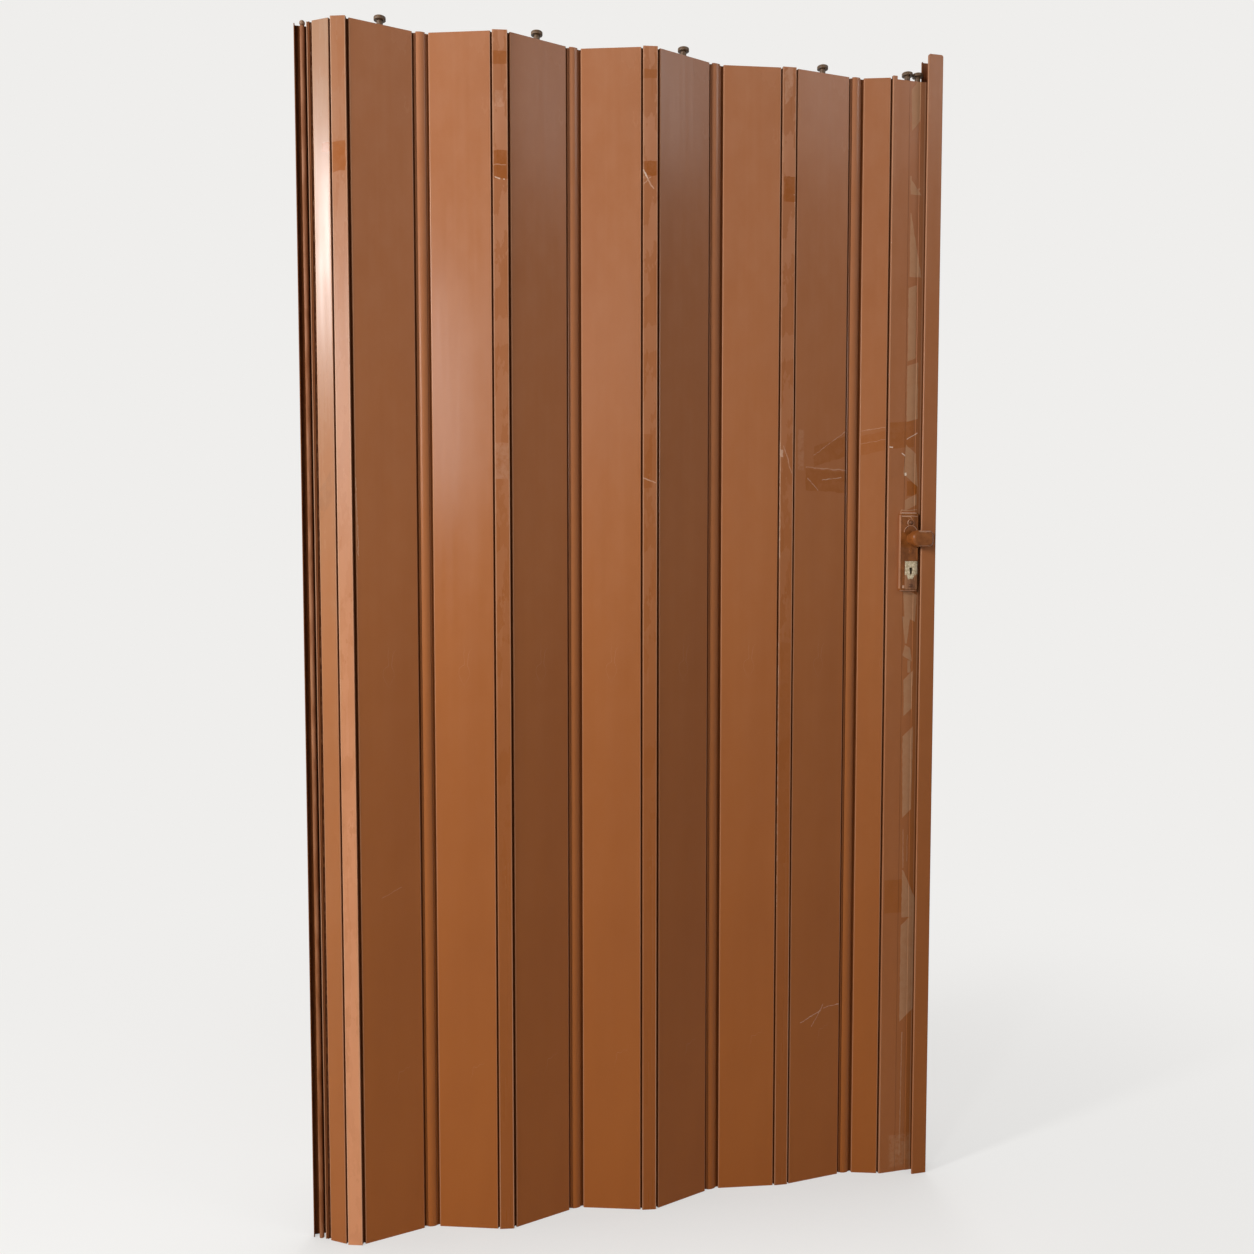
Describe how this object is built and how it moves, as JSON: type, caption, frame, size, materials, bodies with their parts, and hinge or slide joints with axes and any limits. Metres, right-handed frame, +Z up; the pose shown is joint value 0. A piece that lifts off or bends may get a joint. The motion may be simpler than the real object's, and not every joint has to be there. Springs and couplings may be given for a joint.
{
  "type": "accordion door",
  "caption": "Folding door of narrow hollow plastic panels joined by hinge strips, with wall profile, closing post with knob and lock, and strike jamb.",
  "frame": {"origin": "centre of the bounding box on the floor plane", "axes": "+Z up along the panels; +X from the wall profile to the strike jamb, the way the door closes; +Y away from the side with the keyhole"},
  "size_m": [1.1086, 0.089, 2.04],
  "materials": {
    "door_plastic": "semi-gloss moulded brown",
    "profile_plastic": "semi-gloss darker brown",
    "hanger_plastic": "dull olive brown",
    "plug_plastic": "dull dark brown",
    "handle_plastic": "glossy moulded brown",
    "nickel": "tarnished nickel",
    "steel": "plain zinc-plated",
    "screw_steel": "browned with age",
    "zinc": "dull cast zinc"
  },
  "bodies": {
    "opening_frame": {"wall_profile": "profile_plastic", "port_stopper": "profile_plastic", "strike_jamb": "door_plastic", "keeper": "zinc"},
    "starter_panel": {"starter_panel": "door_plastic"},
    "ridge_hinge_1": {"ridge_hinge_1": "door_plastic"},
    "panel_1": {"panel_1": "door_plastic", "panel_plug_1": "plug_plastic"},
    "valley_hinge_1": {"valley_hinge_1": "profile_plastic"},
    "panel_2": {"panel_2": "door_plastic"},
    "ridge_hinge_2": {"ridge_hinge_2": "door_plastic"},
    "panel_3": {"panel_3": "door_plastic", "panel_plug_2": "plug_plastic"},
    "valley_hinge_2": {"valley_hinge_2": "profile_plastic"},
    "panel_4": {"panel_4": "door_plastic"},
    "ridge_hinge_3": {"ridge_hinge_3": "door_plastic"},
    "panel_5": {"panel_5": "door_plastic", "panel_plug_3": "plug_plastic"},
    "valley_hinge_3": {"valley_hinge_3": "profile_plastic"},
    "panel_6": {"panel_6": "door_plastic"},
    "ridge_hinge_4": {"ridge_hinge_4": "door_plastic"},
    "panel_7": {"panel_7": "door_plastic", "panel_plug_4": "plug_plastic"},
    "valley_hinge_4": {"valley_hinge_4": "profile_plastic"},
    "end_panel": {"end_panel": "door_plastic"},
    "lead_post": {"lead_post": "profile_plastic", "post_plug": "plug_plastic", "handle_plate": "handle_plastic", "rear_plate": "handle_plastic", "lock_face": "nickel", "lock_case": "zinc", "plate_screw_top": "screw_steel", "plate_screw_bottom": "screw_steel"},
    "hanger_1": {"hanger_1": "hanger_plastic"},
    "hanger_2": {"hanger_2": "hanger_plastic"},
    "hanger_3": {"hanger_3": "hanger_plastic"},
    "hanger_4": {"hanger_4": "hanger_plastic"},
    "hanger_5": {"hanger_5": "hanger_plastic"},
    "hanger_6": {"hanger_6": "hanger_plastic"},
    "latch": {"turn_knob": "handle_plastic", "rear_knob": "handle_plastic", "spindle": "steel", "latch_hook": "steel"}
  },
  "joints": [
    {"name": "starter_panel_fold", "type": "hinge", "parent": "opening_frame", "child": "starter_panel", "pos_m": [-0.52832, 0.0267, 1], "axis": [0, 0, 1], "range_deg": [-53.5, 0]},
    {"name": "ridge_hinge_1_fold", "type": "hinge", "parent": "starter_panel", "child": "ridge_hinge_1", "pos_m": [-0.49197, 0.00354, 1], "axis": [0, 0, 1], "range_deg": [0, 70.51]},
    {"name": "panel_1_fold", "type": "hinge", "parent": "ridge_hinge_1", "child": "panel_1", "pos_m": [-0.47576, -0.00141, 1], "axis": [0, 0, 1], "range_deg": [0, 56.01]},
    {"name": "valley_hinge_1_fold", "type": "hinge", "parent": "panel_1", "child": "valley_hinge_1", "pos_m": [-0.36497, 0.02416, 1], "axis": [0, 0, 1], "range_deg": [-71.01, 0]},
    {"name": "panel_2_fold", "type": "hinge", "parent": "valley_hinge_1", "child": "panel_2", "pos_m": [-0.34803, 0.02357, 1], "axis": [0, 0, 1], "range_deg": [-70.51, 0]},
    {"name": "ridge_hinge_2_fold", "type": "hinge", "parent": "panel_2", "child": "ridge_hinge_2", "pos_m": [-0.23959, -0.01062, 1], "axis": [0, 0, 1], "range_deg": [0, 77.51]},
    {"name": "panel_3_fold", "type": "hinge", "parent": "ridge_hinge_2", "child": "panel_3", "pos_m": [-0.22285, -0.01327, 1], "axis": [0, 0, 1], "range_deg": [0, 60.51]},
    {"name": "valley_hinge_2_fold", "type": "hinge", "parent": "panel_3", "child": "valley_hinge_2", "pos_m": [-0.11383, 0.01902, 1], "axis": [0, 0, 1], "range_deg": [-76.51, 0]},
    {"name": "panel_4_fold", "type": "hinge", "parent": "valley_hinge_2", "child": "panel_4", "pos_m": [-0.09701, 0.02109, 1], "axis": [0, 0, 1], "range_deg": [-62.01, 0]},
    {"name": "ridge_hinge_3_fold", "type": "hinge", "parent": "panel_4", "child": "ridge_hinge_3", "pos_m": [0.01172, -0.01215, 1], "axis": [0, 0, 1], "range_deg": [0, 77.51]},
    {"name": "panel_5_fold", "type": "hinge", "parent": "ridge_hinge_3", "child": "panel_5", "pos_m": [0.02848, -0.01466, 1], "axis": [0, 0, 1], "range_deg": [0, 59.51]},
    {"name": "valley_hinge_3_fold", "type": "hinge", "parent": "panel_5", "child": "valley_hinge_3", "pos_m": [0.13662, 0.02048, 1], "axis": [0, 0, 1], "range_deg": [-76.01, 0]},
    {"name": "panel_6_fold", "type": "hinge", "parent": "valley_hinge_3", "child": "panel_6", "pos_m": [0.15341, 0.02284, 1], "axis": [0, 0, 1], "range_deg": [-70.01, 0]},
    {"name": "ridge_hinge_4_fold", "type": "hinge", "parent": "panel_6", "child": "ridge_hinge_4", "pos_m": [0.266, 0.00701, 1], "axis": [0, 0, 1], "range_deg": [0, 82.01]},
    {"name": "panel_7_fold", "type": "hinge", "parent": "ridge_hinge_4", "child": "panel_7", "pos_m": [0.28291, 0.00583, 1], "axis": [0, 0, 1], "range_deg": [0, 76.51]},
    {"name": "valley_hinge_4_fold", "type": "hinge", "parent": "panel_7", "child": "valley_hinge_4", "pos_m": [0.39608, 0.01673, 1], "axis": [0, 0, 1], "range_deg": [-79.01, 0]},
    {"name": "end_panel_fold", "type": "hinge", "parent": "valley_hinge_4", "child": "end_panel", "pos_m": [0.41303, 0.01628, 1], "axis": [0, 0, 1], "range_deg": [-70.51, 0]},
    {"name": "lead_post_fold", "type": "hinge", "parent": "end_panel", "child": "lead_post", "pos_m": [0.47022, -0.0012, 1], "axis": [0, 0, 1], "range_deg": [0, 69.01]},
    {"name": "hanger_1_swivel", "type": "hinge", "parent": "panel_1", "child": "hanger_1", "pos_m": [-0.42036, 0.01138, 2], "axis": [0, 0, 1], "continuous": true},
    {"name": "hanger_2_swivel", "type": "hinge", "parent": "panel_3", "child": "hanger_2", "pos_m": [-0.16834, 0.00288, 2], "axis": [0, 0, 1], "continuous": true},
    {"name": "hanger_3_swivel", "type": "hinge", "parent": "panel_5", "child": "hanger_3", "pos_m": [0.08255, 0.00291, 2], "axis": [0, 0, 1], "continuous": true},
    {"name": "hanger_4_swivel", "type": "hinge", "parent": "panel_7", "child": "hanger_4", "pos_m": [0.3395, 0.01128, 2], "axis": [0, 0, 1], "continuous": true},
    {"name": "hanger_5_swivel", "type": "hinge", "parent": "lead_post", "child": "hanger_5", "pos_m": [0.49642, 0, 2], "axis": [0, 0, 1], "continuous": true},
    {"name": "hanger_6_swivel", "type": "hinge", "parent": "lead_post", "child": "hanger_6", "pos_m": [0.51632, 0, 2], "axis": [0, 0, 1], "continuous": true},
    {"name": "latch_turn", "type": "hinge", "parent": "lead_post", "child": "latch", "pos_m": [0.50962, 0, 1.186], "axis": [0, -1, 0], "range_deg": [0, 75]}
  ],
  "couplings": [
    {"joint": "ridge_hinge_1_fold", "follows": "starter_panel_fold", "ratio": -1.3178},
    {"joint": "panel_1_fold", "follows": "starter_panel_fold", "ratio": -1.0467},
    {"joint": "valley_hinge_1_fold", "follows": "starter_panel_fold", "ratio": 1.3271},
    {"joint": "panel_2_fold", "follows": "starter_panel_fold", "ratio": 1.3178},
    {"joint": "ridge_hinge_2_fold", "follows": "starter_panel_fold", "ratio": -1.4486},
    {"joint": "panel_3_fold", "follows": "starter_panel_fold", "ratio": -1.1308},
    {"joint": "valley_hinge_2_fold", "follows": "starter_panel_fold", "ratio": 1.4299},
    {"joint": "panel_4_fold", "follows": "starter_panel_fold", "ratio": 1.1589},
    {"joint": "ridge_hinge_3_fold", "follows": "starter_panel_fold", "ratio": -1.4486},
    {"joint": "panel_5_fold", "follows": "starter_panel_fold", "ratio": -1.1121},
    {"joint": "valley_hinge_3_fold", "follows": "starter_panel_fold", "ratio": 1.4206},
    {"joint": "panel_6_fold", "follows": "starter_panel_fold", "ratio": 1.3084},
    {"joint": "ridge_hinge_4_fold", "follows": "starter_panel_fold", "ratio": -1.5327},
    {"joint": "panel_7_fold", "follows": "starter_panel_fold", "ratio": -1.4299},
    {"joint": "valley_hinge_4_fold", "follows": "starter_panel_fold", "ratio": 1.4766},
    {"joint": "end_panel_fold", "follows": "starter_panel_fold", "ratio": 1.3178},
    {"joint": "lead_post_fold", "follows": "starter_panel_fold", "ratio": -1.2897}
  ]
}
